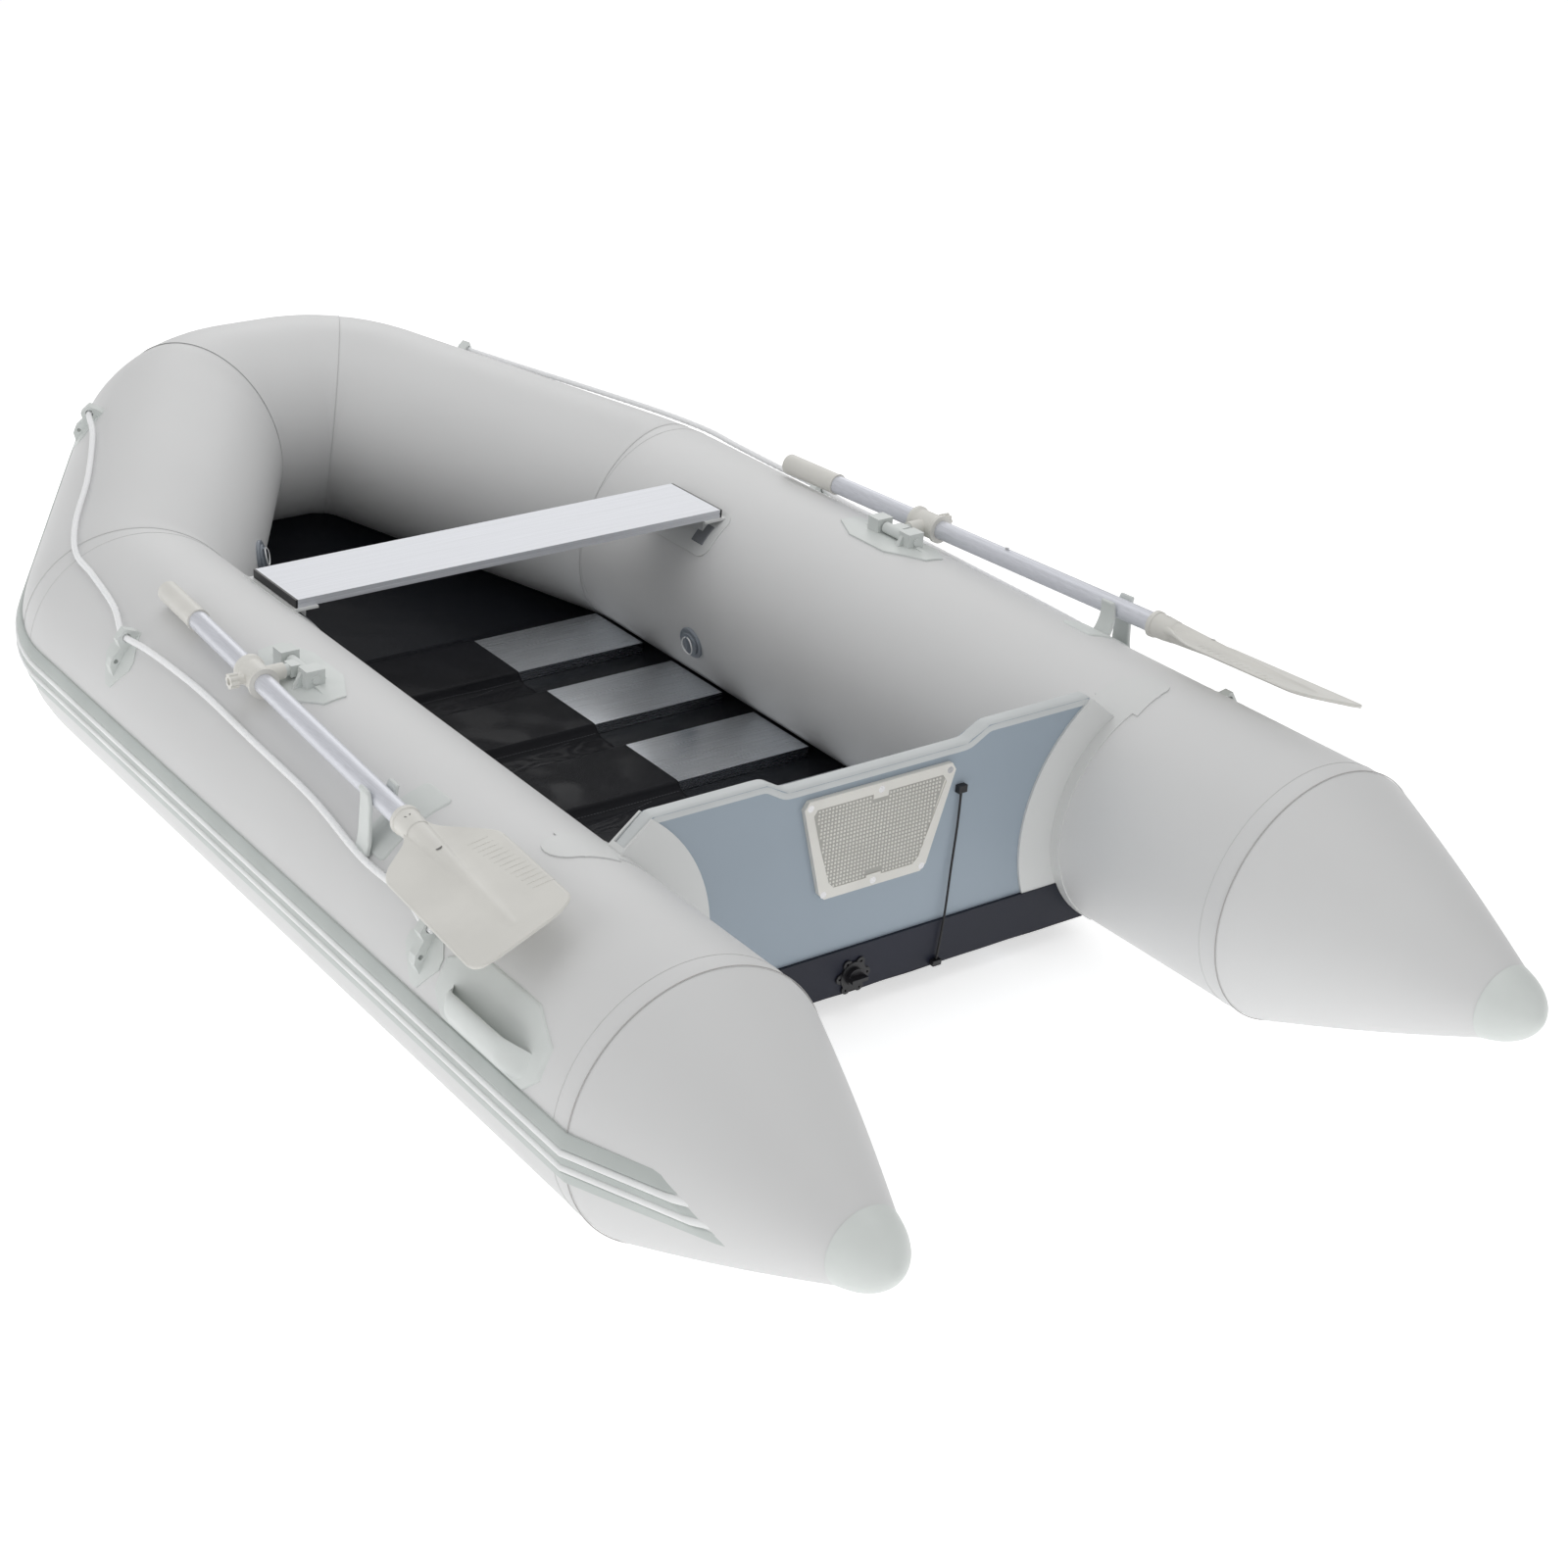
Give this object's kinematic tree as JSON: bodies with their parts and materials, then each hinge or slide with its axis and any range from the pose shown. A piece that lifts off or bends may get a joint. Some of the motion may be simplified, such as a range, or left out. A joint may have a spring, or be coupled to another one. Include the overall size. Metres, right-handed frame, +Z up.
{
  "type": "inflatable dinghy",
  "caption": "inflatable dinghy with a raised mitred bow, cone-ended tubes, plywood transom, slatted floor, bench and stowed oars",
  "frame": {"origin": "centre of the overall box, at the bottom of the tubes", "axes": "+Y to the bow, +X to starboard, +Z up"},
  "size_m": [1.6026, 2.9398, 0.528],
  "materials": {
    "tube_fabric": "satin coated fabric",
    "cap_plastic": "satin",
    "strake_rubber": "satin",
    "piping": "satin",
    "floor_fabric": "satin coated fabric",
    "aluminium": "brushed, anodised",
    "transom_face": "plywood under blue-grey coated fabric",
    "transom_edging": "satin",
    "black_plastic": "fine texture",
    "black_cord": "matte",
    "steel": "polished",
    "grey_moulding": "satin",
    "cream_plastic": "satin",
    "white_cord": "braided"
  },
  "bodies": {
    "hull": {"port_main_tube": "tube_fabric", "starboard_main_tube": "tube_fabric", "port_bow_tube": "tube_fabric", "starboard_bow_tube": "tube_fabric", "bow_cross_tube": "tube_fabric", "port_stern_cone": "tube_fabric", "starboard_stern_cone": "tube_fabric", "cone_caps": "cap_plastic", "seam_tapes": "tube_fabric", "rub_strake": "strake_rubber", "strake_piping": "piping", "floor_skin": "floor_fabric", "floor_slats": "aluminium", "slat_sleeve": "floor_fabric", "transom_board": "transom_face", "transom_edging": "transom_edging", "transom_holders": "tube_fabric", "transom_foot_strip": "floor_fabric", "motor_pad": "cream_plastic", "motor_pad_screws": "steel", "drain_valve_body": "black_plastic", "cord_clips": "black_plastic", "drain_cord": "black_cord", "bench_holders": "grey_moulding", "oarlock_bases": "grey_moulding", "oarlock_pins": "steel", "oar_clips": "grey_moulding", "line_fittings": "grey_moulding", "port_grab_line": "white_cord", "starboard_grab_line": "white_cord", "carry_handles": "grey_moulding", "air_valve_bodies": "grey_moulding"},
    "bench": {"bench_board": "aluminium", "bench_end_caps": "black_plastic"},
    "drain_plug_body": {"drain_plug": "black_plastic"},
    "port_swivel": {"port_oar_swivel": "grey_moulding"},
    "port_collar": {"port_oar_collar": "cream_plastic"},
    "port_knob": {"port_thumb_knob": "cream_plastic"},
    "port_oar": {"port_upper_shaft": "aluminium", "port_lower_shaft": "aluminium", "port_oar_grip": "cream_plastic", "port_oar_blade": "cream_plastic"},
    "port_button": {"port_snap_button": "steel"},
    "starboard_swivel": {"starboard_oar_swivel": "grey_moulding"},
    "starboard_collar": {"starboard_oar_collar": "cream_plastic"},
    "starboard_knob": {"starboard_thumb_knob": "cream_plastic"},
    "starboard_oar": {"starboard_upper_shaft": "aluminium", "starboard_lower_shaft": "aluminium", "starboard_oar_grip": "cream_plastic", "starboard_oar_blade": "cream_plastic"},
    "starboard_button": {"starboard_snap_button": "steel"},
    "port_cap": {"port_valve_cap": "grey_moulding"},
    "port_stem": {"port_valve_stem": "black_plastic"},
    "starboard_cap": {"starboard_valve_cap": "grey_moulding"},
    "starboard_stem": {"starboard_valve_stem": "black_plastic"},
    "bow_cap": {"bow_valve_cap": "grey_moulding"},
    "bow_stem": {"bow_valve_stem": "black_plastic"}
  },
  "joints": [
    {"name": "bench_lift", "type": "slide", "parent": "hull", "child": "bench", "axis": [0, 0, 1], "range_m": [0, 0.12]},
    {"name": "drain_plug_turn", "type": "hinge", "parent": "hull", "child": "drain_plug_body", "pos_m": [-0.02, -0.7235, 0.06], "axis": [0, -1, 0], "range_deg": [0, 90]},
    {"name": "starboard_oar_raise", "type": "hinge", "parent": "hull", "child": "starboard_swivel", "pos_m": [0.588, -0.032, 0.418], "axis": [0, -1, 0], "range_deg": [0, 105]},
    {"name": "starboard_oar_swing", "type": "hinge", "parent": "starboard_swivel", "child": "starboard_collar", "pos_m": [0.662, -0.033, 0.418], "axis": [1, 0, 0], "range_deg": [-0.8, 3.4]},
    {"name": "starboard_oar_feather", "type": "hinge", "parent": "starboard_collar", "child": "starboard_oar", "pos_m": [0.662, -0.033, 0.418], "axis": [-0.0698, 0.9976, 0], "range_deg": [-20, 25]},
    {"name": "starboard_knob_turn", "type": "hinge", "parent": "starboard_collar", "child": "starboard_knob", "pos_m": [0.662, -0.033, 0.418], "axis": [0.9976, 0.0698, 0], "continuous": true},
    {"name": "starboard_button_press", "type": "slide", "parent": "starboard_oar", "child": "starboard_button", "axis": [0, 0, -1], "range_m": [0, 0.0035], "stiffness_N_per_m": 600},
    {"name": "port_oar_raise", "type": "hinge", "parent": "hull", "child": "port_swivel", "pos_m": [-0.588, -0.032, 0.418], "axis": [0, 1, 0], "range_deg": [0, 105]},
    {"name": "port_oar_swing", "type": "hinge", "parent": "port_swivel", "child": "port_collar", "pos_m": [-0.662, -0.033, 0.418], "axis": [1, 0, 0], "range_deg": [-0.8, 3.4]},
    {"name": "port_oar_feather", "type": "hinge", "parent": "port_collar", "child": "port_oar", "pos_m": [-0.662, -0.033, 0.418], "axis": [0.0698, 0.9976, 0], "range_deg": [-25, 20]},
    {"name": "port_knob_turn", "type": "hinge", "parent": "port_collar", "child": "port_knob", "pos_m": [-0.662, -0.033, 0.418], "axis": [-0.9976, 0.0698, 0], "continuous": true},
    {"name": "port_button_press", "type": "slide", "parent": "port_oar", "child": "port_button", "axis": [0, 0, 1], "range_m": [0, 0.0035], "stiffness_N_per_m": 600},
    {"name": "starboard_cap_turn", "type": "hinge", "parent": "hull", "child": "starboard_cap", "pos_m": [0.36392, 0.238, 0.15046], "axis": [-0.9659, 0, -0.2588], "range_deg": [0, 90]},
    {"name": "starboard_stem_push", "type": "slide", "parent": "hull", "child": "starboard_stem", "axis": [0.9659, 0, 0.2588], "range_m": [0, 0.004], "stiffness_N_per_m": 600},
    {"name": "port_cap_turn", "type": "hinge", "parent": "hull", "child": "port_cap", "pos_m": [-0.36392, 0.238, 0.15046], "axis": [0.9659, 0, -0.2588], "range_deg": [0, 90]},
    {"name": "port_stem_push", "type": "slide", "parent": "hull", "child": "port_stem", "axis": [-0.9659, 0, 0.2588], "range_m": [0, 0.004], "stiffness_N_per_m": 600},
    {"name": "bow_cap_turn", "type": "hinge", "parent": "hull", "child": "bow_cap", "pos_m": [-0.26185, 0.74587, 0.2611], "axis": [0.8182, -0.5684, 0.0863], "range_deg": [0, 90]},
    {"name": "bow_stem_push", "type": "slide", "parent": "hull", "child": "bow_stem", "axis": [-0.8182, 0.5684, -0.0863], "range_m": [0, 0.004], "stiffness_N_per_m": 600}
  ]
}
